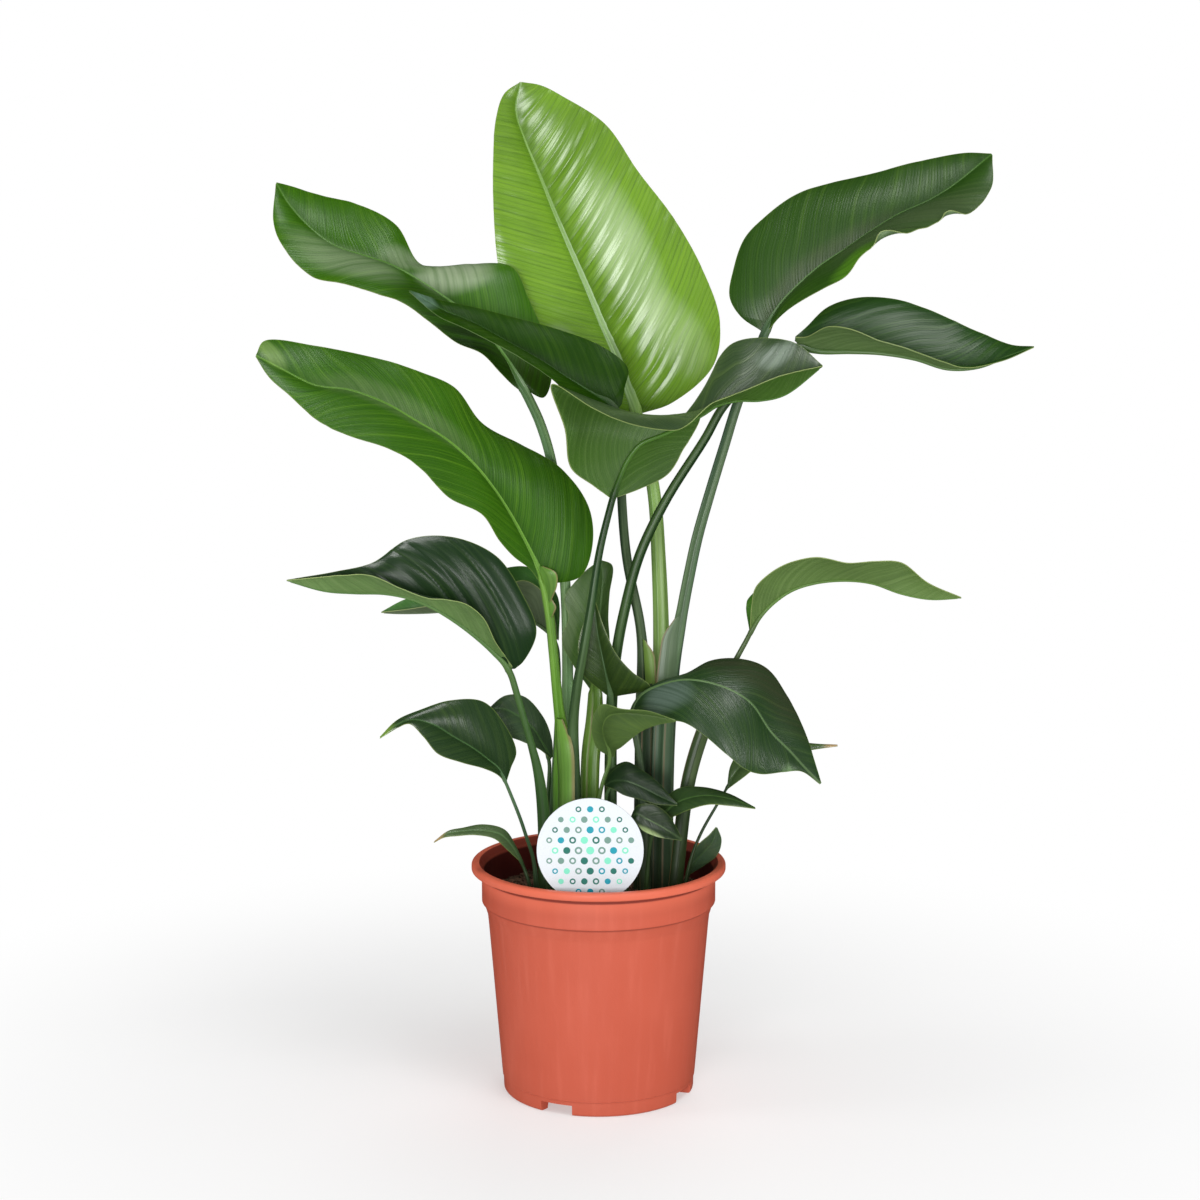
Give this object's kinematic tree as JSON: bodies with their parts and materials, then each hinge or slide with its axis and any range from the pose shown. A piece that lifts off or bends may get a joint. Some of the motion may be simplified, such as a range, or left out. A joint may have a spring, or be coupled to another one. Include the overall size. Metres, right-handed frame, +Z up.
{
  "type": "potted bird of paradise plant",
  "caption": "Young bird of paradise house plant: broad paddle leaves on tall stalks fanning out of a terracotta plastic nursery pot with soil and a round plant label.",
  "frame": {"origin": "middle of the pot's foot, on the surface that the pot stands on", "axes": "+Z up the plant, +X to the right and +Y to the back as the picture sees it"},
  "size_m": [0.549, 0.2034, 0.7486],
  "materials": {
    "pot_plastic": "satin moulded plastic",
    "soil": "loose dark potting soil, rough",
    "label": "smooth printed plastic",
    "leaf": "waxy leaf with a soft sheen"
  },
  "bodies": {
    "root": {"pot": "pot_plastic", "soil": "soil", "label": "label", "leaf_a_top": "leaf", "leaf_b_left": "leaf", "leaf_c_upper_left": "leaf", "leaf_d_left": "leaf", "leaf_e_centre": "leaf", "leaf_g_upper_right": "leaf", "leaf_h_right": "leaf", "leaf_i_lower_left": "leaf", "leaf_j_behind": "leaf", "leaf_k_middle": "leaf", "leaf_l_inner": "leaf", "leaf_m_front": "leaf", "leaf_n_small": "leaf", "leaf_o_low_right": "leaf", "leaf_p_drooping": "leaf", "leaf_q_arching": "leaf", "leaf_r_seedling": "leaf", "leaf_s_small_left": "leaf", "leaf_t_small_behind": "leaf", "leaf_u_low_left": "leaf", "leaf_v_shoot": "leaf", "leaf_w_beside_label": "leaf"}
  },
  "joints": []
}
